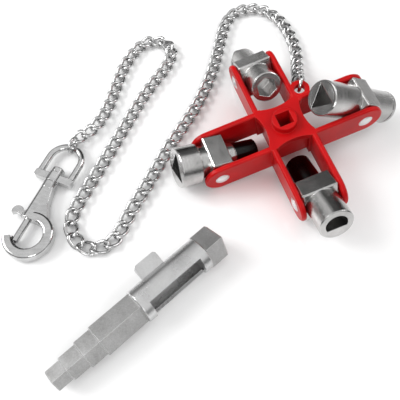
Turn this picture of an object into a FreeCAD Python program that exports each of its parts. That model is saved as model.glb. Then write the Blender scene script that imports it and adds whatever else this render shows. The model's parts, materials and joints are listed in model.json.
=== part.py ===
import FreeCAD, Part
import math
import os

Vector = FreeCAD.Vector
Rotation = FreeCAD.Rotation
Placement = FreeCAD.Placement

# Multi utility key, in millimetres and degrees.
# A red die-cast cross carries four double-ended keys on riveted pins, a curb
# chain runs from its corner lug to a swivel trigger snap, and a stepped square
# key belongs to the set.
# The shapes of the cross and keys are drawn with the top plate level, then laid
# over as the tool rests on the low ends of its keys.

# Cross casting
cross_width = 20.0
ear_thickness = 2.3
ear_height = 15.0
ear_edge_bevel = 0.55
pin_reach = 32.5
plate_thickness = 3.0
plate_scoop = 1.6
core_width = 15.2
corner_post = 3.0
boss_diameter = 10.6
boss_height = 3.2
boss_edge_round = 0.5
drive_square = 6.1
lug_offset = 12.4
lug_thickness = 2.6
lug_hole_diameter = 4.6
lug_wall = 2.0
lug_neck_width = 5.0
lug_below_plate = 0.2

# Riveted pins
pin_diameter = 4.0
pin_head_diameter = 6.2
pin_head_height = 0.9
pin_running_clearance = 0.05

# Keys: the block that turns on the pin, the same for all four
key_side_clearance = 0.2
block_length = 9.2
block_height = 15.0
block_bevel = 0.5
key_edge_bevel = 0.35

# Large triangle key, left arm: outer socket and inner square socket
large_socket_reach = 17.3
large_socket_start = 8.1
large_socket_diameter = 17.2
large_neck_diameter = 14.4
large_triangle_radius = 7.6
large_triangle_step_radius = 6.2
large_triangle_turn = -27.0
large_triangle_depth = 5.0
large_step_depth = 9.0
large_inner_reach = 18.8
large_inner_diameter = 10.6
large_collar_diameter = 12.2
large_collar_length = 3.4
large_inner_square = 5.6
large_tilt = -19.1

# Small triangle key, right arm: inner socket and outer grooved cylinder
small_socket_reach = 22.2
small_socket_diameter = 14.6
small_triangle_radius = 6.3
small_triangle_depth = 12.0
small_outer_reach = 22.0
small_outer_diameter = 14.2
small_groove_reach = 18.6
small_groove_width = 0.8
small_groove_depth = 0.5
small_stub_diameter = 6.4
small_stub_length = 2.4
small_end_bevel = 1.2
small_tilt = 42.4

# Spindle key, upper arm: inner hexagon socket and outer stepped spindle
hexagon_socket_reach = 16.4
hexagon_socket_diameter = 13.2
hexagon_across_flats = 8.0
hexagon_depth = 9.0
spindle_base_diameter = 12.6
spindle_base_reach = 18.4
spindle_shoulder_diameter = 7.8
spindle_shoulder_length = 2.2
spindle_neck_length = 4.2
spindle_tip_diameter = 4.4
spindle_tip_length = 4.6
spindle_tilt = 31.1

# Half-moon key, lower arm: outer half-moon socket and inner square socket
moon_socket_reach = 17.4
moon_socket_diameter = 14.4
moon_hole_diameter = 9.2
moon_flat_offset = 2.2
moon_depth = 11.0
moon_inner_reach = 20.2
moon_inner_diameter = 11.2
moon_inner_square = 7.0
moon_tilt = -22.0
inner_square_depth = 8.0

# How the cross rests, and where the other pieces lie beside it
right_side_up = 9.8
far_side_up = 4.0

# Curb chain: links of round wire, each twisted a quarter turn
chain_wire_diameter = 1.6
chain_pitch = 5.7
chain_width = 6.6
link_slack = 0.16
link_twist = 45.0
link_sides = 5
link_corner_along = 0.62
link_corner_aside = 0.44
chain_floor_gap = 0.05
end_link_length = 12.0
end_link_width = 7.6
end_link_corners = (-70, -25, 25, 70)
end_link_drop = 40.0
end_link_heading = 62.0
end_link_clearance = 0.3
end_link_play = 0.15
ring_diameter = 7.2
ring_wire_diameter = 1.2
ring_clearance = 0.1
ring_bow_drop = 0.33
ring_points = 16
ring_sides = 6
chain_landing = [(21.6, 30.0, 7.0), (25.6, 37.6, 2.6)]
chain_route = [
    (30.5, 48.0), (33.4, 61.0), (32.4, 76.0), (25.0, 86.5), (13.5, 87.4), (2.5, 77.0), (-8.6, 59.0),
    (-20.4, 43.0), (-32.5, 30.5), (-46.0, 18.5), (-61.5, 3.0), (-76.0, -11.5), (-84.5, -18.6),
    (-92.6, -18.4), (-97.6, -11.8), (-97.0, -3.2), (-90.6, 5.6), (-76.0, 21.0), (-56.0, 42.6),
    (-42.2, 56.0), (-29.6, 68.0), (-27.1, 74.6), (-30.0, 81.0), (-36.6, 83.5), (-43.0, 80.6),
    (-58.6, 62.2)]

# Swivel trigger snap, lying flat, its axis from the D-eye to the hook
snap_place = (-99.4, 19.0)
snap_heading = 228.0
snap_axis_height = 3.1
eye_wire_diameter = 3.0
eye_width = 17.8
eye_leg_length = 9.6
eye_bar_width = 3.4
eye_boss_diameter = 6.0
eye_boss_length = 4.6
eye_bar_round = 1.1
swivel_diameter = 3.2
swivel_running_clearance = 0.08
swivel_end_gap = 0.15
swivel_head_diameter = 5.6
swivel_head_length = 2.6
swivel_head_bevel = 0.5
barrel_diameter = 5.8
barrel_end = 21.6
barrel_bevel = 0.4
collar_length = 3.4
stem_thickness = 4.4
stem_waist = 4.6
stem_flare = 5.5
stem_joint_angle = 160.0
hook_thickness = 5.0
hook_centre_along = 28.0
hook_centre_aside = 4.2
hook_inner_radius = 6.0
hook_wire = 4.6
hook_edge_round = 1.3
hook_tip_angle = -64.0
bolt_diameter = 3.0
bolt_running_clearance = 0.08
bolt_rear = 18.2
bolt_front = 32.2
bolt_travel = 8.8
bolt_end_gap = 0.3
bolt_bevel = 0.3
spring_seat = 7.0
spring_wire_diameter = 0.34
spring_turns = 6
spring_points_per_turn = 8
tab_along = 19.8
tab_stem_width = 1.9
tab_stem_thickness = 1.9
tab_pad_gap = 0.3
tab_width = 5.0
tab_pad_extra = 0.6
tab_scoop_offset = 3.1
tab_gap = 0.2

# Stepped square key with its windowed sleeve
step_place = (-117.4, -65.0)
step_heading = 22.6
step_roll = 24.0
step_squares = [6.0, 7.0, 8.0, 9.0]
step_lengths = [6.0, 7.2, 7.0, 18.6]
step_bevel = 0.3
sleeve_diameter = 14.0
sleeve_bore = 11.2
sleeve_length = 32.0
sleeve_ring = 3.6
plug_length = 3.0
window_angle = 108.0
window_turn = -82.0
fin_length = 10.4
fin_reach = 5.6
fin_thickness = 3.0
fin_start = 7.7
fin_turn = 74.0
fin_corner = 0.9
fin_root = 0.6
drive_end_square = 10.4
drive_end_length = 8.6
drive_end_bevel = 0.7

gap_between_ears = cross_width - 2 * ear_thickness
overlap = 1.0  # how far pieces reach into each other before they are joined or cut
block_width = gap_between_ears - 2 * key_side_clearance
plate_top = ear_height / 2
plate_bottom = plate_top - plate_thickness
chain_radius = chain_wire_diameter / 2
AXIS_X = Vector(1, 0, 0)
AXIS_Y = Vector(0, 1, 0)
AXIS_Z = Vector(0, 0, 1)


def rod_x(diameter, start, end):
    """A round bar along X."""
    return Part.makeCylinder(diameter / 2, end - start, Vector(start, 0, 0), AXIS_X)


def cone_x(start_diameter, end_diameter, start, end):
    """A tapered round bar along X."""
    return Part.makeCone(start_diameter / 2, end_diameter / 2, end - start, Vector(start, 0, 0), AXIS_X)


def prism_x(corners, start, end):
    """A straight prism along X from corners given as (y, z)."""
    points = [Vector(start, y, z) for y, z in corners]
    face = Part.Face(Part.makePolygon(points + points[:1]))
    return face.extrude(Vector(end - start, 0, 0))


def regular_corners(count, radius, turn):
    """Corners of a regular polygon, the first one at turn degrees from up."""
    angles = [math.radians(turn + 360 * i / count) for i in range(count)]
    return [(radius * math.sin(a), radius * math.cos(a)) for a in angles]


def square_x(side, start, end, turn=0.0):
    """A square bar along X, flat on its sides at no turn."""
    return prism_x(regular_corners(4, side / math.sqrt(2), 45 + turn), start, end)


def bevel_round_ends(shape, positions, size):
    """Bevel the outer round edges that lie at the given places along X."""
    edges = []
    for place, diameter in positions:
        for edge in shape.Edges:
            box = edge.BoundBox
            flat = box.XLength < 1e-4 and abs(box.XMin - place) < 1e-4
            if flat and abs(box.YLength - diameter) < 1e-3 and abs(box.ZLength - diameter) < 1e-3:
                edges.append(edge)
    return shape.makeChamfer(size, edges) if edges else shape


def wire_solid(points, references, radius, sides, closed):
    """A many-sided wire through points; references fix how its section is turned."""
    count = len(points)
    rings = []
    for i, point in enumerate(points):
        before = points[i - 1] if closed or i else point
        after = points[(i + 1) % count] if closed or i < count - 1 else point
        along = (after - before).normalize()
        up = references[i] - along * references[i].dot(along)
        up.normalize()
        side = along.cross(up)
        turns = [2 * math.pi * k / sides for k in range(sides)]
        rings.append([point + up * (radius * math.cos(t)) + side * (radius * math.sin(t)) for t in turns])
    faces = []
    for i in range(count if closed else count - 1):
        near, far = rings[i], rings[(i + 1) % count]
        for k in range(sides):
            a, b = near[k], near[(k + 1) % sides]
            c, d = far[(k + 1) % sides], far[k]
            faces.append(Part.Face(Part.makePolygon([a, b, c, a])))
            faces.append(Part.Face(Part.makePolygon([a, c, d, a])))
    if not closed:
        for ring in (rings[0], rings[-1]):
            faces.append(Part.Face(Part.makePolygon(ring + ring[:1])))
    shell = Part.makeShell(faces)
    shell.sewShape()
    solid = Part.makeSolid(shell)
    if solid.Volume < 0:
        solid.reverse()
    return solid


def moved(shape, *placements):
    """A copy of shape carried through the placements, the first one first."""
    result = shape.copy()
    for placement in placements:
        result.Placement = placement.multiply(result.Placement)
    return result


def arm_placement(angle):
    """From a key's own place on its pin to its arm of the cross."""
    turn = Placement(Vector(0, 0, 0), Rotation(AXIS_Z, angle))
    return turn.multiply(Placement(Vector(pin_reach, 0, 0), Rotation()))


# The cross casting
def ear(side):
    """One ear of the right arm: a bar with a round end about the pin."""
    y = side * (cross_width - ear_thickness) / 2 - ear_thickness / 2
    start = cross_width / 2 - corner_post
    bar = Part.makeBox(pin_reach - start, ear_thickness, ear_height, Vector(start, y, -ear_height / 2))
    end = Part.makeCylinder(ear_height / 2, ear_thickness, Vector(pin_reach, y, 0), AXIS_Y)
    solid = bar.fuse(end).removeSplitter()
    long_edges = []
    for edge in solid.Edges:
        box = edge.BoundBox
        if box.YLength < 1e-4 and box.XLength > 1.0:
            long_edges.append(edge)
    solid = solid.makeChamfer(ear_edge_bevel, long_edges)
    hole = Part.makeCylinder(pin_diameter / 2, ear_thickness + 2 * overlap,
                             Vector(pin_reach, y - overlap, 0), AXIS_Y)
    return solid.cut(hole)


def top_plate():
    """The square plate, its edges scooped out over each arm's gap."""
    half = cross_width / 2
    plate = Part.makeBox(cross_width, cross_width, plate_thickness, Vector(-half, -half, plate_bottom))
    chord = gap_between_ears / 2
    radius = (chord ** 2 + plate_scoop ** 2) / (2 * plate_scoop)
    reach = half - plate_scoop + radius
    for angle in range(0, 360, 90):
        place = Rotation(AXIS_Z, angle).multVec(Vector(reach, 0, plate_bottom - overlap))
        plate = plate.cut(Part.makeCylinder(radius, plate_thickness + 2 * overlap, place))
    return plate


def chain_lug():
    """The flat eye at the corner between the upper and right arms."""
    base = plate_top - lug_below_plate - lug_thickness
    centre = Vector(lug_offset, lug_offset, base)
    eye = Part.makeCylinder(lug_hole_diameter / 2 + lug_wall, lug_thickness, centre)
    start = cross_width / 2 - corner_post / 2
    reach = (lug_offset - start) * math.sqrt(2)
    neck = Part.makeBox(reach, lug_neck_width, lug_thickness, Vector(0, -lug_neck_width / 2, 0))
    neck = moved(neck, Placement(Vector(start, start, base), Rotation(AXIS_Z, 45)))
    hole = Part.makeCylinder(lug_hole_diameter / 2, lug_thickness + 2 * overlap, centre - AXIS_Z * overlap)
    return eye.fuse(neck).cut(hole)


def cross_body():
    half = cross_width / 2
    core = Part.makeBox(core_width, core_width, ear_height - plate_thickness,
                        Vector(-core_width / 2, -core_width / 2, -ear_height / 2))
    boss = Part.makeCylinder(boss_diameter / 2, boss_height + plate_thickness, Vector(0, 0, plate_bottom))
    rim = [e for e in boss.Edges if e.BoundBox.ZMin > plate_top + boss_height - 0.01]
    boss = boss.makeFillet(boss_edge_round, rim)
    pieces = [core, boss, chain_lug()]
    for angle in range(0, 360, 90):
        turn = Placement(Vector(0, 0, 0), Rotation(AXIS_Z, angle))
        post = Part.makeBox(corner_post, corner_post, ear_height,
                            Vector(half - corner_post, half - corner_post, -ear_height / 2))
        pieces += [moved(ear(1), turn), moved(ear(-1), turn), moved(post, turn)]
    body = top_plate().multiFuse(pieces)
    reach = ear_height + boss_height + 2 * overlap
    drive = Part.makeBox(drive_square, drive_square, reach,
                         Vector(-drive_square / 2, -drive_square / 2, -ear_height / 2 - overlap))
    return body.cut(drive).removeSplitter()


def rivet_pin():
    """A pin through both ears of the right arm, with a domed head at each end."""
    half = cross_width / 2
    pin = Part.makeCylinder(pin_diameter / 2, cross_width, Vector(0, -half, 0), AXIS_Y)
    cap_radius = (pin_head_diameter ** 2 / 4 + pin_head_height ** 2) / (2 * pin_head_height)
    for side in (-1, 1):
        ball = Part.makeSphere(cap_radius, Vector(0, side * (half + pin_head_height - cap_radius), 0))
        keep = Part.makeCylinder(pin_head_diameter, pin_head_height + overlap,
                                 Vector(0, side * half, 0), AXIS_Y * side)
        pin = pin.fuse(ball.common(keep))
    return pin.removeSplitter()


# The keys, drawn with X outwards along the arm, Y along the pin and Z up
def key_block():
    block = Part.makeBox(block_length, block_width, block_height,
                         Vector(-block_length / 2, -block_width / 2, -block_height / 2))
    return block.makeChamfer(block_bevel, block.Edges)


def finish_key(solid):
    """Fuse, then bore the block for its pin."""
    bore = Part.makeCylinder(pin_diameter / 2 + pin_running_clearance, block_width + 2 * overlap,
                             Vector(0, -block_width / 2 - overlap, 0), AXIS_Y)
    return solid.removeSplitter().cut(bore)


def large_triangle_key():
    face = block_length / 2
    neck = rod_x(large_neck_diameter, face - overlap, large_socket_start)
    socket = rod_x(large_socket_diameter, large_socket_start, large_socket_reach)
    ends = [(large_socket_start, large_socket_diameter), (large_socket_reach, large_socket_diameter)]
    socket = bevel_round_ends(socket, ends, key_edge_bevel)
    inner = rod_x(large_inner_diameter, -large_inner_reach, overlap - face)
    inner = bevel_round_ends(inner, [(-large_inner_reach, large_inner_diameter)], key_edge_bevel)
    collar = rod_x(large_collar_diameter, -face - large_collar_length, overlap - face)
    collar = bevel_round_ends(collar, [(-face - large_collar_length, large_collar_diameter)], key_edge_bevel)
    solid = key_block().multiFuse([neck, socket, inner, collar])
    wide = prism_x(regular_corners(3, large_triangle_radius, large_triangle_turn),
                   large_socket_reach - large_triangle_depth, large_socket_reach + overlap)
    narrow = prism_x(regular_corners(3, large_triangle_step_radius, large_triangle_turn),
                     large_socket_reach - large_step_depth, large_socket_reach + overlap)
    square = square_x(large_inner_square, -large_inner_reach - overlap, inner_square_depth - large_inner_reach)
    return finish_key(solid.cut(wide).cut(narrow).cut(square))


def small_triangle_key():
    face = block_length / 2
    socket = rod_x(small_socket_diameter, -small_socket_reach, overlap - face)
    socket = bevel_round_ends(socket, [(-small_socket_reach, small_socket_diameter)], key_edge_bevel)
    outer = rod_x(small_outer_diameter, face - overlap, small_outer_reach)
    outer = bevel_round_ends(outer, [(small_outer_reach, small_outer_diameter)], small_end_bevel)
    stub_end = small_outer_reach + small_stub_length
    stub = rod_x(small_stub_diameter, small_outer_reach - overlap, stub_end)
    stub = bevel_round_ends(stub, [(stub_end, small_stub_diameter)], key_edge_bevel)
    groove_end = small_groove_reach + small_groove_width
    groove = rod_x(small_outer_diameter + 2, small_groove_reach, groove_end)
    groove_floor = small_outer_diameter - 2 * small_groove_depth
    groove = groove.cut(rod_x(groove_floor, small_groove_reach - overlap, groove_end + overlap))
    hole = prism_x(regular_corners(3, small_triangle_radius, 180),
                   -small_socket_reach - overlap, small_triangle_depth - small_socket_reach)
    solid = key_block().multiFuse([socket, outer, stub])
    return finish_key(solid.cut(groove).cut(hole))


def spindle_key():
    face = block_length / 2
    socket = rod_x(hexagon_socket_diameter, -hexagon_socket_reach, overlap - face)
    socket = bevel_round_ends(socket, [(-hexagon_socket_reach, hexagon_socket_diameter)], key_edge_bevel)
    base = rod_x(spindle_base_diameter, face - overlap, spindle_base_reach)
    base = bevel_round_ends(base, [(spindle_base_reach, spindle_base_diameter)], key_edge_bevel)
    shoulder_end = spindle_base_reach + spindle_shoulder_length
    neck_end = shoulder_end + spindle_neck_length
    tip_end = neck_end + spindle_tip_length
    shoulder = cone_x(spindle_base_diameter - 2, spindle_shoulder_diameter, spindle_base_reach, shoulder_end)
    neck = rod_x(spindle_shoulder_diameter, shoulder_end, neck_end)
    neck = bevel_round_ends(neck, [(neck_end, spindle_shoulder_diameter)], key_edge_bevel)
    tip = rod_x(spindle_tip_diameter, neck_end - overlap, tip_end)
    tip = bevel_round_ends(tip, [(tip_end, spindle_tip_diameter)], key_edge_bevel)
    hole = prism_x(regular_corners(6, hexagon_across_flats / math.sqrt(3), 0),
                   -hexagon_socket_reach - overlap, hexagon_depth - hexagon_socket_reach)
    solid = key_block().multiFuse([socket, base, shoulder, neck, tip])
    return finish_key(solid.cut(hole))


def half_moon_key():
    face = block_length / 2
    socket = rod_x(moon_socket_diameter, face - overlap, moon_socket_reach)
    socket = bevel_round_ends(socket, [(moon_socket_reach, moon_socket_diameter)], key_edge_bevel)
    inner = rod_x(moon_inner_diameter, -moon_inner_reach, overlap - face)
    inner = bevel_round_ends(inner, [(-moon_inner_reach, moon_inner_diameter)], key_edge_bevel)
    solid = key_block().multiFuse([socket, inner])
    hole = rod_x(moon_hole_diameter, moon_socket_reach - moon_depth, moon_socket_reach + overlap)
    below = Part.makeBox(moon_depth + 3 * overlap, moon_hole_diameter, moon_hole_diameter,
                         Vector(moon_socket_reach - moon_depth - overlap, -moon_hole_diameter / 2,
                                -moon_flat_offset - moon_hole_diameter))
    square = square_x(moon_inner_square, -moon_inner_reach - overlap, inner_square_depth - moon_inner_reach)
    return finish_key(solid.cut(hole.cut(below)).cut(square))


# The chain
def curb_link():
    """One twisted link along X, as an eight-cornered loop of wire."""
    half_length = (chain_pitch + link_slack + chain_wire_diameter) / 2
    half_width = (chain_width - chain_wire_diameter) / 2
    plan = [(half_length * link_corner_along, half_width), (half_length, half_width * link_corner_aside)]
    plan += [(x, -y) for x, y in reversed(plan)]
    plan += [(-x, -y) for x, y in plan]
    points, references = [], []
    for x, y in plan:
        roll = math.radians(link_twist) * x / half_length
        points.append(Vector(x, y * math.cos(roll), y * math.sin(roll)))
        references.append(Vector(0, -math.sin(roll), math.cos(roll)))
    return wire_solid(points, references, chain_radius, link_sides, True)


def oval_link():
    """The plain oval link that hangs in the lug, in the XZ plane about its centre."""
    bend = (end_link_width - chain_wire_diameter) / 2
    straight = (end_link_length - end_link_width) / 2
    points = []
    for side in (0, 180):
        for angle in end_link_corners:
            turn = math.radians(side + angle)
            along = straight * math.copysign(1, math.cos(turn))
            points.append(Vector(along + bend * math.cos(turn), 0, bend * math.sin(turn)))
    return wire_solid(points, [AXIS_Y] * len(points), chain_radius, ring_sides, True)


def link_placement(centre, along):
    """Stand a link at centre, its length along the route and its flat side up."""
    side = AXIS_Z.cross(along).normalize()
    turn = Rotation(along, side, along.cross(side), "XYZ")
    return Placement(centre, turn)


def chain_pieces(lug_wall_centre, ring_bow):
    """The oval link at the lug, then the run of curb links to the ring."""
    heading = Rotation(AXIS_Z, end_link_heading).multVec(AXIS_X)
    drop = math.radians(end_link_drop)
    along = heading * math.cos(drop) - AXIS_Z * math.sin(drop)
    wall_corner = math.hypot(lug_wall, lug_thickness) / 2
    behind = wall_corner + chain_radius + end_link_clearance
    bow_span = end_link_length - chain_wire_diameter
    oval_centre = lug_wall_centre + along * (bow_span / 2 - behind)
    oval = moved(oval_link(), link_placement(oval_centre, along))

    link_half = (chain_pitch + link_slack + chain_wire_diameter) / 2
    bow_gap = chain_wire_diameter + link_slack + end_link_play
    first = oval_centre + along * (bow_span / 2 + link_half - bow_gap)
    floor_height = curb_link().optimalBoundingBox(False, False).ZMax + chain_floor_gap
    arrival = Vector(chain_route[-1][0], chain_route[-1][1], ring_bow.z)
    last = ring_bow + (arrival - ring_bow).normalize() * (link_half - chain_radius)
    points = [first] + [Vector(x, y, floor_height + rise) for x, y, rise in chain_landing]
    points += [Vector(x, y, floor_height) for x, y in chain_route] + [last]
    curve = Part.BSplineCurve()
    curve.interpolate(points)
    count = round(curve.length() / chain_pitch)
    stations = [Vector(p.x, p.y, max(p.z, floor_height)) for p in curve.discretize(Number=count + 1)]
    link = curb_link()
    links = []
    for i, centre in enumerate(stations):
        before = stations[i - 1] if i else centre - along
        after = stations[i + 1] if i < count else ring_bow
        laid = moved(link, link_placement(centre, (after - before).normalize()))
        dip = max(0, chain_floor_gap - laid.BoundBox.ZMin)
        links.append(moved(laid, Placement(Vector(0, 0, dip), Rotation())))
    print("curb links", len(links), "spacing", round(curve.length() / count, 3))
    return oval, Part.makeCompound(links)


def jump_ring():
    """The round ring between the chain and the snap, in the XZ plane about its centre."""
    radius = ring_diameter / 2
    turns = [2 * math.pi * i / ring_points for i in range(ring_points)]
    points = [Vector(radius * math.cos(t), 0, radius * math.sin(t)) for t in turns]
    return wire_solid(points, [AXIS_Y] * ring_points, ring_wire_diameter / 2, ring_sides, True)


# The snap, drawn with X along its axis from the eye to the hook
boss_end = eye_boss_length / 2
collar_start = boss_end + swivel_end_gap
leg_offset = (eye_width - eye_wire_diameter) / 2


def snap_eye():
    bar = Part.makeBox(eye_bar_width, eye_width, eye_wire_diameter,
                       Vector(-eye_bar_width / 2, -eye_width / 2, -eye_wire_diameter / 2))
    upright = [e for e in bar.Edges if e.BoundBox.ZLength > eye_wire_diameter / 2]
    bar = bar.makeFillet(eye_bar_round, upright)
    pieces = [rod_x(eye_boss_diameter, -boss_end, boss_end)]
    for side in (-1, 1):
        leg = rod_x(eye_wire_diameter, -eye_leg_length, 0)
        pieces.append(moved(leg, Placement(Vector(0, side * leg_offset, 0), Rotation())))
    bow = Part.makeTorus(leg_offset, eye_wire_diameter / 2, Vector(0, 0, 0), AXIS_Z, 0, 360, 180)
    pieces.append(moved(bow, Placement(Vector(-eye_leg_length, 0, 0), Rotation(AXIS_Z, 90))))
    bore = rod_x(swivel_diameter + 2 * swivel_running_clearance, -eye_boss_length, eye_boss_length)
    return bar.multiFuse(pieces).removeSplitter().cut(bore)


def hook_ring():
    """The open ring of the hook with its throat cut for the bolt."""
    outer = hook_inner_radius + hook_wire
    base = Vector(hook_centre_along, hook_centre_aside, -hook_thickness / 2)
    ring = Part.makeCylinder(outer, hook_thickness, base)
    ring = ring.cut(Part.makeCylinder(hook_inner_radius, hook_thickness, base))
    rims = [e for e in ring.Edges if e.BoundBox.ZLength < 1e-4]
    ring = ring.makeFillet(hook_edge_round, rims)
    centre = Vector(hook_centre_along, hook_centre_aside, -hook_thickness)
    tip_ray = Vector(math.cos(math.radians(hook_tip_angle)), math.sin(math.radians(hook_tip_angle)), 0)
    far = centre + tip_ray * (3 * outer)
    low = Vector(barrel_end, far.y, centre.z)
    high = Vector(barrel_end, centre.y, centre.z)
    throat = Part.Face(Part.makePolygon([centre, far, low, high, centre]))
    ring = ring.cut(throat.extrude(Vector(0, 0, 2 * hook_thickness)))
    shave = Part.makeBox(2 * outer, 2 * outer, 2 * hook_thickness,
                         Vector(barrel_end - 2 * outer, -barrel_diameter / 3 - 2 * outer, -hook_thickness))
    return ring.cut(shave)


def hook_body():
    head_start = -collar_start - swivel_head_length
    head = rod_x(swivel_head_diameter, head_start, -collar_start)
    head = bevel_round_ends(head, [(head_start, swivel_head_diameter)], swivel_head_bevel)
    post = rod_x(swivel_diameter, -collar_start - overlap, collar_start + overlap)
    collar_end = collar_start + collar_length
    collar = rod_x(eye_boss_diameter, collar_start, collar_end)
    barrel = rod_x(barrel_diameter, collar_start + overlap, barrel_end)
    barrel = bevel_round_ends(barrel, [(barrel_end, barrel_diameter)], barrel_bevel)
    outer = hook_inner_radius + hook_wire
    flank = math.radians(stem_joint_angle)
    joint = Vector(hook_centre_along + outer * math.cos(flank),
                   hook_centre_aside + outer * math.sin(flank), 0)
    start = collar_end - overlap
    corners = [(start, 0), (start, barrel_diameter / 2), (joint.x - stem_flare, stem_waist),
               (joint.x, joint.y), (barrel_end, joint.y), (barrel_end, 0)]
    points = [Vector(x, y, -stem_thickness / 2) for x, y in corners]
    stem = Part.Face(Part.makePolygon(points + points[:1])).extrude(Vector(0, 0, stem_thickness))
    stem = stem.cut(Part.makeCylinder(hook_inner_radius, 2 * stem_thickness,
                                      Vector(hook_centre_along, hook_centre_aside, -stem_thickness)))
    solid = barrel.multiFuse([head, post, collar, stem, hook_ring()]).removeSplitter()
    bore = rod_x(bolt_diameter + 2 * bolt_running_clearance, spring_seat, bolt_front + bolt_end_gap)
    slot_start = tab_along - tab_stem_width / 2 - bolt_travel - tab_gap
    slot_end = tab_along + tab_stem_width / 2 + tab_gap
    slot_width = tab_stem_thickness + 2 * tab_gap
    slot = Part.makeBox(slot_end - slot_start, barrel_diameter, slot_width,
                        Vector(slot_start, -barrel_diameter, -slot_width / 2))
    return solid.cut(bore).cut(slot)


def tab_stem(reach):
    return Part.makeBox(tab_stem_width, reach - bolt_diameter / 4, tab_stem_thickness,
                        Vector(tab_along - tab_stem_width / 2, -reach, -tab_stem_thickness / 2))


def hook_bolt():
    bolt = rod_x(bolt_diameter, bolt_rear, bolt_front)
    bolt = bevel_round_ends(bolt, [(bolt_front, bolt_diameter), (bolt_rear, bolt_diameter)], bolt_bevel)
    return bolt.cut(tab_stem(bolt_diameter))


def thumb_tab():
    """The tab that draws the bolt back: a stem with a scooped thumb pad."""
    pad_thickness = tab_stem_thickness + tab_pad_extra
    pad_centre = -(barrel_diameter / 2 + tab_pad_gap + tab_width / 2)
    base = Vector(tab_along, pad_centre, -pad_thickness / 2)
    pad = Part.makeCylinder(tab_width / 2, pad_thickness, base)
    scoop = Part.makeCylinder(tab_width / 2, pad_thickness, base + AXIS_X * tab_scoop_offset)
    pad = pad.cut(scoop)
    return pad.fuse(tab_stem(-pad_centre)).removeSplitter()


def bolt_spring():
    """The coil spring that holds the bolt shut, with its turns drawn as many-sided wire."""
    wire = spring_wire_diameter / 2
    coil = bolt_diameter / 2 - wire
    start = spring_seat + wire
    reach = bolt_rear - wire - start
    count = spring_turns * spring_points_per_turn
    points = []
    for i in range(count + 1):
        turn = 2 * math.pi * i / spring_points_per_turn
        points.append(Vector(start + reach * i / count, coil * math.cos(turn), coil * math.sin(turn)))
    return wire_solid(points, [AXIS_X] * len(points), wire, link_sides, False)


# The stepped key, drawn with X from its smallest square to its driven end
sleeve_start = sum(step_lengths)
sleeve_end = sleeve_start + sleeve_length


def front_bevelled(bar, place, size):
    """Bevel the edges of a bar's end face at the given place along X."""
    edges = [e for e in bar.Edges if e.BoundBox.XLength < 1e-4 and abs(e.BoundBox.XMin - place) < 1e-4]
    return bar.makeChamfer(size, edges)


def step_bar():
    place = 0.0
    solid = rod_x(sleeve_bore, sleeve_start, sleeve_start + plug_length)
    for side, length in zip(step_squares, step_lengths):
        end = min(place + length + overlap, sleeve_start)
        step = front_bevelled(square_x(side, place, end, step_roll), place, step_bevel)
        solid = solid.fuse(step)
        place += length
    return solid.removeSplitter()


def step_sleeve():
    outer = rod_x(sleeve_diameter, sleeve_start, sleeve_end)
    ends = [(sleeve_start, sleeve_diameter), (sleeve_end, sleeve_diameter)]
    outer = bevel_round_ends(outer, ends, step_bevel)
    base_radius = sleeve_diameter / 2 - fin_root
    fin = Part.makeBox(fin_length, fin_thickness, fin_reach + fin_root,
                       Vector(sleeve_start + fin_start, -fin_thickness / 2, base_radius))
    corners = [e for e in fin.Edges
               if e.BoundBox.YLength > fin_thickness / 2 and e.BoundBox.ZMin > sleeve_diameter / 2]
    fin = fin.makeChamfer(fin_corner, corners)
    fin = moved(fin, Placement(Vector(0, 0, 0), Rotation(AXIS_X, -fin_turn)))
    solid = outer.fuse(fin).cut(rod_x(sleeve_bore, sleeve_start - overlap, sleeve_end + overlap))
    window = Part.makeCylinder(sleeve_diameter, sleeve_length - 2 * sleeve_ring,
                               Vector(sleeve_start + sleeve_ring, 0, 0), AXIS_X, window_angle)
    first_edge = window.CenterOfMass
    lean = math.degrees(math.atan2(first_edge.y, first_edge.z))
    return solid.cut(moved(window, Placement(Vector(0, 0, 0), Rotation(AXIS_X, lean - window_turn))))


def step_drive():
    plug = rod_x(sleeve_bore, sleeve_end - plug_length, sleeve_end)
    end = sleeve_end + drive_end_length
    square = square_x(drive_end_square, sleeve_end, end, step_roll)
    return plug.fuse(front_bevelled(square, end, drive_end_bevel)).removeSplitter()


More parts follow.
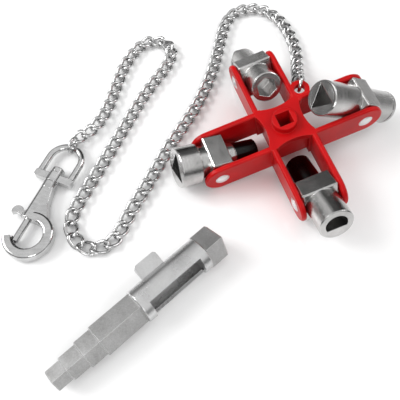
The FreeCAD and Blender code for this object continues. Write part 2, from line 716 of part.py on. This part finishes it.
# Lay every piece where it rests
def assemble():
    turn = Rotation(AXIS_X, far_side_up).multiply(Rotation(AXIS_Y, -right_side_up))
    tip = Placement(Vector(0, 0, 0), turn)
    keys = {
        "small_triangle_key": (small_triangle_key(), 0, small_tilt),
        "spindle_key": (spindle_key(), 90, spindle_tilt),
        "large_triangle_key": (large_triangle_key(), 180, large_tilt),
        "half_moon_key": (half_moon_key(), 270, moon_tilt),
    }
    tipped = {}
    for name, (shape, angle, tilt) in keys.items():
        swing = Placement(Vector(0, 0, 0), Rotation(AXIS_Y, tilt))
        tipped[name] = moved(shape, swing, arm_placement(angle), tip)
    lowest = {name: shape.optimalBoundingBox(False, False).ZMin for name, shape in tipped.items()}
    for name, z in lowest.items():
        print(name, "clears the floor by", round(z - min(lowest.values()), 2))
    raised = Placement(Vector(0, 0, -min(lowest.values())), Rotation())
    rest = raised.multiply(tip)

    nodes = {name: moved(shape, raised) for name, shape in tipped.items()}
    nodes["cross_body"] = moved(cross_body(), rest)
    pins = {"right_pin": 0, "upper_pin": 90, "left_pin": 180, "lower_pin": 270}
    for name, angle in pins.items():
        about = Placement(Vector(0, 0, 0), Rotation(AXIS_Z, angle))
        nodes[name] = moved(rivet_pin(), Placement(Vector(pin_reach, 0, 0), Rotation()), about, rest)

    snap = Placement(Vector(snap_place[0], snap_place[1], snap_axis_height), Rotation(AXIS_Z, snap_heading))
    for name, shape in {"snap_eye": snap_eye(), "hook_body": hook_body(), "hook_bolt": hook_bolt(),
                        "thumb_tab": thumb_tab(), "bolt_spring": bolt_spring()}.items():
        nodes[name] = moved(shape, snap)

    ring_inner = (ring_diameter - ring_wire_diameter) / 2
    ring_height = ring_diameter / 2 + ring_wire_diameter / 2 + chain_floor_gap
    rise = ring_height - snap_axis_height
    hang = math.sqrt((ring_inner - eye_wire_diameter / 2 - ring_clearance) ** 2 - rise ** 2)
    ring_along = -eye_leg_length - leg_offset - hang
    nodes["jump_ring"] = moved(jump_ring(), Placement(Vector(ring_along, 0, rise), Rotation()), snap)
    bow_reach = ring_inner - chain_radius - ring_clearance
    bow_drop = bow_reach * ring_bow_drop
    bow = snap.multVec(Vector(ring_along - math.sqrt(bow_reach ** 2 - bow_drop ** 2), 0, rise - bow_drop))

    wall_reach = (lug_hole_diameter + lug_wall) / 2
    wall = Vector(lug_offset, lug_offset, plate_top - lug_below_plate - lug_thickness / 2)
    wall = wall + Rotation(AXIS_Z, end_link_heading).multVec(AXIS_X) * wall_reach
    nodes["oval_link"], nodes["curb_chain"] = chain_pieces(rest.multVec(wall), bow)

    step = Placement(Vector(step_place[0], step_place[1], sleeve_diameter / 2), Rotation(AXIS_Z, step_heading))
    nodes["step_bar"] = moved(step_bar(), step)
    nodes["step_sleeve"] = moved(step_sleeve(), step)
    nodes["step_drive"] = moved(step_drive(), step)

    # The origin is the middle of the floor area that everything covers.
    box = Part.makeCompound(list(nodes.values())).optimalBoundingBox(False, False)
    middle = Vector(-(box.XMin + box.XMax) / 2, -(box.YMin + box.YMax) / 2, -box.ZMin)
    to_origin = Placement(middle, Rotation())
    frames = {name: to_origin.multiply(frame)
              for name, frame in (("rest", rest), ("snap", snap), ("step", step))}
    return {name: moved(shape, to_origin) for name, shape in nodes.items()}, frames


os.makedirs("parts", exist_ok=True)
part_nodes, part_frames = assemble()
for node, solid in part_nodes.items():
    solid.exportStep(os.path.join("parts", node + ".step"))
for name, frame in part_frames.items():
    turn = [round(c, 6) for c in frame.Rotation.Q]
    print(name, "frame at", [round(c, 4) for c in frame.Base], "quaternion", turn)
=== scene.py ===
import json
import math
import bpy
import numpy as np
from mathutils import Euler, Matrix, Vector


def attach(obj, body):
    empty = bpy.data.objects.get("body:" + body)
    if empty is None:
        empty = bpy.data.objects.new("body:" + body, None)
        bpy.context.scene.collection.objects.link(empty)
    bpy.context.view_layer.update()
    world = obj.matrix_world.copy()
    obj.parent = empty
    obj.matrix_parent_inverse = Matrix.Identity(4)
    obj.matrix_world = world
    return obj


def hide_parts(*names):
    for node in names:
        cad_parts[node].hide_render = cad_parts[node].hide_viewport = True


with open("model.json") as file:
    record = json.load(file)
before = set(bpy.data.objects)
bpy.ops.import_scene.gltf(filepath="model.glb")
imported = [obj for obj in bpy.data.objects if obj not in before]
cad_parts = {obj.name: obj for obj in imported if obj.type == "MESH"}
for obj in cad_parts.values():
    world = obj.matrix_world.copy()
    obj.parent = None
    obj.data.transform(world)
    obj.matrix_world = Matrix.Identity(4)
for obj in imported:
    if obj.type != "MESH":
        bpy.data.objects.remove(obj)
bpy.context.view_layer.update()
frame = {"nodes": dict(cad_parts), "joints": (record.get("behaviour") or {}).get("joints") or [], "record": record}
scene = bpy.context.scene
joints = {joint["name"]: joint for joint in frame["joints"]}
mounts = {mount["name"]: mount for mount in frame["record"]["mounts"]}
crossCentre = sum((Vector(joints[side + "_key_swing"]["pos_m"])
                   for side in ("right", "upper", "left", "lower")), Vector()) / 4


# Camera
cameraSet = {
    "fromCross": (-0.0779, -0.1121, 0.1777),
    "turn": (29.0, 0.6, -20.2),
    "lens": 45.9,
    "sensor": 36.0,
}
lens = bpy.data.cameras.new("photoCamera")
lens.lens = cameraSet["lens"]
lens.sensor_width = cameraSet["sensor"]
camera = bpy.data.objects.new("photoCamera", lens)
scene.collection.objects.link(camera)
camera.location = crossCentre + Vector(cameraSet["fromCross"])
camera.rotation_euler = Euler([math.radians(a) for a in cameraSet["turn"]], "XYZ")
scene.camera = camera
print("camera placed")


# Shader maths: a Field wraps a socket, and an expression on Fields adds Math nodes
class Field:
    def __init__(self, paint, socket):
        self.paint = paint
        self.socket = socket

    def math(self, operation, other=0.0, clamp=False):
        node = self.paint.tree.nodes.new("ShaderNodeMath")
        node.operation = operation
        node.use_clamp = clamp
        self.paint.feed(node.inputs[0], self)
        self.paint.feed(node.inputs[1], other)
        return Field(self.paint, node.outputs[0])

    def vectorMath(self, operation, other, output=0):
        node = self.paint.tree.nodes.new("ShaderNodeVectorMath")
        node.operation = operation
        self.paint.feed(node.inputs[0], self)
        self.paint.feed(node.inputs[1], other)
        return Field(self.paint, node.outputs[output])

    def dot(self, other):
        return self.vectorMath("DOT_PRODUCT", other, "Value")

    def length(self):
        return self.vectorMath("LENGTH", (0, 0, 0), "Value")

    def minus(self, other):
        return self.vectorMath("SUBTRACT", other)

    def __add__(self, other):
        return self.math("ADD", other)

    __radd__ = __add__

    def __sub__(self, other):
        return self.math("SUBTRACT", other)

    def __rsub__(self, other):
        return self * -1.0 + other

    def __mul__(self, other):
        return self.math("MULTIPLY", other)

    __rmul__ = __mul__

    def __truediv__(self, other):
        return self.math("DIVIDE", other)

    def __pow__(self, other):
        return self.math("POWER", other)

    def between(self, low, high):
        return ((self - low) / (high - low)).math("ADD", 0.0, clamp=True)

    def mix(self, start, end):
        return self.paint.node("ShaderNodeMix", {"data_type": "RGBA"}, "Result_Color",
                               Factor_Float=self, A_Color=start, B_Color=end)


# The node tree of a material or of the world
class Paint:
    def __init__(self, owner):
        owner.use_nodes = True
        self.owner = owner
        self.tree = owner.node_tree

    def feed(self, socket, value):
        if isinstance(value, Field):
            self.tree.links.new(value.socket, socket)
        else:
            socket.default_value = value

    def node(self, kind, settings, output, **inputs):
        node = self.tree.nodes.new(kind)
        for name, value in settings.items():
            setattr(node, name, value)
        for name, value in inputs.items():
            socket = next(s for s in node.inputs if name in (s.identifier, s.name))
            self.feed(socket, value)
        return Field(self, next(s for s in node.outputs if output in (s.identifier, s.name)))

    def place(self):
        return self.node("ShaderNodeTexCoord", {}, "Object")

    def noise(self, vector, scale, detail=3.0, roughness=0.5):
        return self.node("ShaderNodeTexNoise", {}, "Fac", Vector=vector, Scale=scale,
                         Detail=detail, Roughness=roughness)

    def streaks(self, value, detail=4.0, roughness=0.65):
        return self.node("ShaderNodeTexNoise", {"noise_dimensions": "1D"}, "Fac", W=value,
                         Scale=1.0, Detail=detail, Roughness=roughness)

    def roundedNormal(self, radius, samples=4):
        return self.node("ShaderNodeBevel", {"samples": samples}, "Normal", Radius=radius)

    def edges(self, radius, gain):
        facing = self.roundedNormal(radius).dot(self.node("ShaderNodeNewGeometry", {}, "Normal"))
        return ((1.0 - facing) * gain).math("ADD", 0.0, clamp=True)

    def bump(self, height, distance, rounding):
        return self.node("ShaderNodeBump", {}, "Normal", Height=height, Distance=distance,
                         Strength=1.0, Normal=self.roundedNormal(rounding))

    def finish(self, **inputs):
        surface = self.tree.nodes["Principled BSDF"]
        for name, value in inputs.items():
            self.feed(surface.inputs[name.replace("_", " ")], value)
        return self.owner


def grey(level, warmth=0.0):
    return (level * (1 + warmth), level, level * (1 - warmth), 1.0)


def powderCoat(name, look):
    paint = Paint(bpy.data.materials.new(name))
    place = paint.place()
    mottle = paint.noise(place, look["mottleScale"], look["mottleDetail"])
    peel = paint.noise(place, look["peelScale"], look["peelDetail"])
    # light rims: partly wear, partly painted highlight along the edges
    edge = paint.edges(look["edgeRound"], look["edgeGain"]) * look["edgeWearAndHighlight"]
    body = mottle.between(look["mottleLow"], look["mottleHigh"]).mix(look["dark"], look["bright"])
    colour = edge.mix(body, look["edge"])
    return paint.finish(
        Base_Color=colour,
        Roughness=mottle * look["roughnessSpread"] + look["roughness"],
        Normal=paint.bump(peel + mottle * look["mottleHeight"], look["peelDepth"], look["edgeRound"]),
        Coat_Weight=look["coat"], Coat_Roughness=look["coatRoughness"],
        Specular_IOR_Level=look["specular"])


# Turned or milled metal, with its lines round an axis; on the inner side, past the given distance from the pin, it
# is darkened as painted shade
def metal(name, look, axis, centre=(0, 0, 0), shadeFrom=None):
    paint = Paint(bpy.data.materials.new(name))
    place = paint.place()
    offset = place.minus(tuple(centre))
    along = offset.dot(tuple(axis))
    reach = (offset.length() ** 2.0 - along ** 2.0).math("MAXIMUM", 0.0) ** 0.5
    lines = paint.streaks((along + reach * look["faceLines"]) * look["lineScale"])
    grain = paint.noise(place, look["grainScale"])
    cloud = paint.noise(place, look["cloudScale"])
    # light rims: partly wear, partly painted highlight along the edges
    edge = paint.edges(look["edgeRound"], look["edgeGain"]) * look["edgeWearAndHighlight"]
    tone = lines * look["lineTone"] + cloud * look["cloudTone"] + grain * look["grainTone"]
    body = tone.between(look["toneLow"], look["toneHigh"]).mix(look["dark"], look["bright"])
    # painted shade: the inner side, past the given distance from the pin, turns dark
    if shadeFrom is not None:
        shadeMask = (along * -1.0).between(shadeFrom, shadeFrom + look["shadeBlend"])
        body = shadeMask.mix(body, look["shadeColour"])
    height = lines * look["lineDepth"] + grain * look["grainDepth"]
    return paint.finish(
        Base_Color=edge.mix(body, look["edge"]),
        Metallic=look["metallic"],
        Roughness=cloud * look["roughnessSpread"] + look["roughness"],
        Normal=paint.bump(height, look["depth"], look["edgeRound"]))


def dress(node, material):
    piece = frame["nodes"][node]
    piece.data.materials.clear()
    piece.data.materials.append(material)


# Red cross casting
castingLook = {
    "dark": (0.42, 0.002, 0.004, 1), "bright": (0.56, 0.005, 0.006, 1), "edge": (0.85, 0.06, 0.05, 1),
    "mottleScale": 90.0, "mottleDetail": 4.0, "mottleLow": 0.3, "mottleHigh": 0.7, "mottleHeight": 0.6,
    "peelScale": 1400.0, "peelDetail": 2.0, "peelDepth": 0.00006,
    "roughness": 0.24, "roughnessSpread": 0.16, "edgeRound": 0.0005, "edgeGain": 6.0, "edgeWearAndHighlight": 0.55,
    "coat": 0.03, "coatRoughness": 0.2, "specular": 0.12,
}
dress("cross_body", powderCoat("redPowderCoat", castingLook))
print("cross dressed")


# Keys of turned and milled metal
keyLook = {
    "dark": grey(0.28, 0.02), "bright": grey(0.66, 0.01), "edge": grey(0.92), "metallic": 0.98,
    "lineScale": 5200.0, "faceLines": 1.0, "grainScale": 1800.0, "cloudScale": 120.0,
    "lineTone": 0.6, "cloudTone": 0.5, "grainTone": 0.25, "toneLow": 0.42, "toneHigh": 0.88,
    "roughness": 0.11, "roughnessSpread": 0.12, "lineDepth": 0.6, "grainDepth": 0.2, "depth": 0.00004,
    "edgeRound": 0.0003, "edgeGain": 5.0, "edgeWearAndHighlight": 0.8,
    # colour and blend width of the painted shade on the inner barrels
    "shadeColour": grey(0.02), "shadeBlend": 0.0004,
}
# painted shade: the inner barrels of these keys are darkened where they lie in shade
shadedInnerBarrels = {"large_triangle_key": 0.0082, "half_moon_key": 0.0048}  # from the pin inwards
keyMounts = {
    "small_triangle_key": ("small_triangle_socket", "right"),
    "spindle_key": ("spindle_tip", "upper"),
    "large_triangle_key": ("large_triangle_socket", "left"),
    "half_moon_key": ("half_moon_socket", "lower"),
}
for node, (mount, side) in keyMounts.items():
    pin = Vector(joints[side + "_key_swing"]["pos_m"])
    nickel = metal(node + "_nickel", keyLook, mounts[mount]["axis"], pin, shadedInnerBarrels.get(node))
    dress(node, nickel)
print("keys dressed")


# Rivet pins with spun heads
rivetLook = dict(keyLook, dark=grey(0.58), bright=grey(0.86), lineScale=9000.0, roughness=0.3)
for side in ("right", "upper", "left", "lower"):
    swing = joints[side + "_key_swing"]
    dress(side + "_pin", metal(side + "_rivet_steel", rivetLook, swing["axis"], swing["pos_m"]))
print("rivets dressed")


# Chrome of the chain and the snap
chromeLook = {
    "dark": grey(0.46), "bright": grey(0.66), "edge": grey(0.95), "metallic": 1.0,
    "lineScale": 900.0, "faceLines": 0.4, "grainScale": 2600.0, "cloudScale": 260.0,
    "lineTone": 0.3, "cloudTone": 0.7, "grainTone": 0.2, "toneLow": 0.35, "toneHigh": 0.85,
    "roughness": 0.04, "roughnessSpread": 0.08, "lineDepth": 0.35, "grainDepth": 0.2, "depth": 0.00002,
    "edgeRound": 0.0003, "edgeGain": 3.0, "edgeWearAndHighlight": 0.5,
}
snapAxis = joints["snap_swivel"]["axis"]
snapPlace = joints["snap_swivel"]["pos_m"]
snapChrome = metal("snapChrome", chromeLook, snapAxis, snapPlace)
for node in ("snap_eye", "hook_body", "hook_bolt", "thumb_tab"):
    dress(node, snapChrome)
springLook = dict(chromeLook, dark=grey(0.35), bright=grey(0.55), roughness=0.22)
dress("bolt_spring", metal("springSteel", springLook, snapAxis, snapPlace))
chainChrome = metal("chainChrome", dict(chromeLook, roughness=0.09, edgeWearAndHighlight=0.0), (0, 0, 1))
print("snap dressed")


# Curb chain: smooth round wire laid over each link of the frame
wireSet = {
    "wireRadius": 0.0008,
    "halfLength": 0.00373,
    "halfWidth": 0.0025,
    "twist": 45.0,
    "squareness": 2.6,
    "stations": 28,
    "sides": 10,
}


# The points of each separate link in a node's mesh
def islandsOf(node):
    mesh = frame["nodes"][node].data
    spots = {}
    owner = [spots.setdefault(tuple(round(c, 6) for c in v.co), len(spots)) for v in mesh.vertices]
    places = np.array(list(spots.keys()))
    group = list(range(len(places)))

    def root(i):
        while group[i] != i:
            group[i] = group[group[i]]
            i = group[i]
        return i

    for edge in mesh.edges:
        a, b = (root(owner[v]) for v in edge.vertices)
        group[a] = b
    sets = {}
    for i in range(len(places)):
        sets.setdefault(root(i), []).append(i)
    return [places[members] for members in sets.values()]


# A link's centre and its long, wide and thin directions
def axesOf(points):
    centre = points.mean(0)
    spread, turns = np.linalg.eigh(np.cov((points - centre).T))
    along, side = turns[:, 2], turns[:, 1]
    return Vector(centre), Matrix((along, side, np.cross(along, side))).transposed()


def closedTube(name, loops, radius, sides, material):
    verts, faces = [], []
    for points in loops:
        count, start = len(points), len(verts)
        centre = sum(points, Vector()) / count
        for i, point in enumerate(points):
            ahead = (points[(i + 1) % count] - points[i - 1]).normalized()
            outward = point - centre
            outward = (outward - ahead * outward.dot(ahead)).normalized()
            across = ahead.cross(outward)
            for j in range(sides):
                turn = 2 * math.pi * j / sides
                verts.append(point + (outward * math.cos(turn) + across * math.sin(turn)) * radius)
        for i in range(count):
            for j in range(sides):
                a, b = start + i * sides, start + (i + 1) % count * sides
                k = (j + 1) % sides
                faces.append((a + j, a + k, b + k, b + j))
    mesh = bpy.data.meshes.new(name)
    mesh.from_pydata(verts, [], faces)
    mesh.shade_smooth()
    mesh.materials.append(material)
    piece = bpy.data.objects.new(name, mesh)
    scene.collection.objects.link(piece)
    return piece


def curbLoop(centre, turn):
    points = []
    for i in range(wireSet["stations"]):
        t = 2 * math.pi * (i + 0.5) / wireSet["stations"]
        c, s = math.cos(t), math.sin(t)
        power = 2 / wireSet["squareness"]
        x = math.copysign(abs(c) ** power, c) * wireSet["halfLength"]
        y = math.copysign(abs(s) ** power, s) * wireSet["halfWidth"]
        roll = math.radians(wireSet["twist"]) * x / wireSet["halfLength"]
        points.append(centre + turn @ Vector((x, y * math.cos(roll), y * math.sin(roll))))
    return points


links = [curbLoop(*axesOf(points)) for points in islandsOf("curb_chain")]
chain = closedTube("chainLinks", links, wireSet["wireRadius"], wireSet["sides"], chainChrome)
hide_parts("curb_chain")
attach(chain, "cross_frame")
print("chain links", len(links))


# End link and jump ring
endSet = {
    "ovalStraight": 0.0022,
    "ovalBend": 0.003,
    "ovalRadius": 0.0008,
    "ringMean": 0.0036,
    "ringRadius": 0.0006,
    "stations": 40,
    "sides": 12,
}


def roundLoop(node, straight, bend):
    centre, turn = axesOf(islandsOf(node)[0])
    points = []
    for i in range(endSet["stations"]):
        t = 2 * math.pi * (i + 0.5) / endSet["stations"]
        shift = math.copysign(straight, math.cos(t))
        points.append(centre + turn @ Vector((shift + bend * math.cos(t), bend * math.sin(t), 0)))
    return points


def chainEnd(node, name, straight, bend, radius):
    piece = closedTube(name, [roundLoop(node, straight, bend)], radius, endSet["sides"], chainChrome)
    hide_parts(node)
    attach(piece, "cross_frame")


chainEnd("oval_link", "chainEndLink", endSet["ovalStraight"], endSet["ovalBend"], endSet["ovalRadius"])
chainEnd("jump_ring", "chainRing", 0.0, endSet["ringMean"], endSet["ringRadius"])
print("end link and ring made")


# Stepped key and its sleeve
stepAxis = Vector(mounts["step_drive_end"]["axis"])
stepPlace = Vector(mounts["step_square_6"]["pos_m"])
stepLook = dict(keyLook, dark=grey(0.34, 0.01), bright=grey(0.58), roughness=0.36, lineScale=700.0,
                lineTone=0.15, lineDepth=0.1, grainTone=0.5, grainDepth=0.6, depth=0.00004)
sleeveLook = dict(keyLook, dark=grey(0.42), bright=grey(0.72), roughness=0.22, lineScale=7000.0)
stepMetal = metal("stepMetal", stepLook, stepAxis, stepPlace)
dress("step_bar", stepMetal)
dress("step_drive", stepMetal)
dress("step_sleeve", metal("sleeveSteel", sleeveLook, stepAxis, stepPlace))
print("step key dressed")


# Glossy white floor
floorSet = {
    "size": 4.0,
    "colour": (0.96, 0.96, 0.96, 1),
    "roughness": 0.10,
    "roughnessSpread": 0.04,
    "waveScale": 3.0,
}
mesh = bpy.data.meshes.new("studioFloor")
half = floorSet["size"] / 2
corners = [(-half, -half, 0), (half, -half, 0), (half, half, 0), (-half, half, 0)]
mesh.from_pydata(corners, [], [(0, 1, 2, 3)])
floor = bpy.data.objects.new("studioFloor", mesh)
scene.collection.objects.link(floor)
paint = Paint(bpy.data.materials.new("whiteAcrylic"))
sheen = paint.noise(paint.place(), floorSet["waveScale"])
mesh.materials.append(paint.finish(Base_Color=floorSet["colour"],
                                   Roughness=sheen * floorSet["roughnessSpread"] + floorSet["roughness"]))
print("floor laid")


# Studio light
lightSet = {
    "keyPlace": (-0.85, 0.45, 0.75), "keySize": 0.6, "keyPower": 9.0,
    "fillPlace": (0.9, 0.1, 0.6), "fillSize": 0.5, "fillPower": 2.5,
    "frontPlace": (-0.25, -0.9, 0.55), "frontSize": 0.4, "frontPower": 2.0,
    "zenith": 0.9, "horizon": 0.12, "rampLow": 0.2, "rampHigh": 0.55,
    "flagToward": (0.55, 0.78, 0.30), "flagInside": 0.86, "flagOutside": 0.72, "flagGlow": 0.10,
}  # the flag is a dark patch of the sky that the tops of the keys reflect


def areaLight(name):
    light = bpy.data.lights.new(name, "AREA")
    light.size = lightSet[name + "Size"]
    light.energy = lightSet[name + "Power"]
    lamp = bpy.data.objects.new(name, light)
    lamp.location = lightSet[name + "Place"]
    lamp.rotation_euler = (-lamp.location).to_track_quat("-Z", "Y").to_euler()
    scene.collection.objects.link(lamp)


for name in ("key", "fill", "front"):
    areaLight(name)
scene.world = bpy.data.worlds.new("studio")
sky = Paint(scene.world)
background = sky.tree.nodes["Background"]
background.inputs["Color"].default_value = (1, 1, 1, 1)
direction = sky.node("ShaderNodeTexCoord", {}, "Generated")
height = sky.node("ShaderNodeSeparateXYZ", {}, "Z", Vector=direction)
rise = height.between(lightSet["rampLow"], lightSet["rampHigh"])
glow = rise * (lightSet["zenith"] - lightSet["horizon"]) + lightSet["horizon"]
clear = direction.dot(lightSet["flagToward"]).between(lightSet["flagInside"], lightSet["flagOutside"])
glow = glow * (clear * (1 - lightSet["flagGlow"]) + lightSet["flagGlow"])
seen = sky.node("ShaderNodeLightPath", {}, "Is Camera Ray")
sky.feed(background.inputs["Strength"], glow.math("MAXIMUM", seen))
scene.view_settings.view_transform = "Standard"
print("lights set")
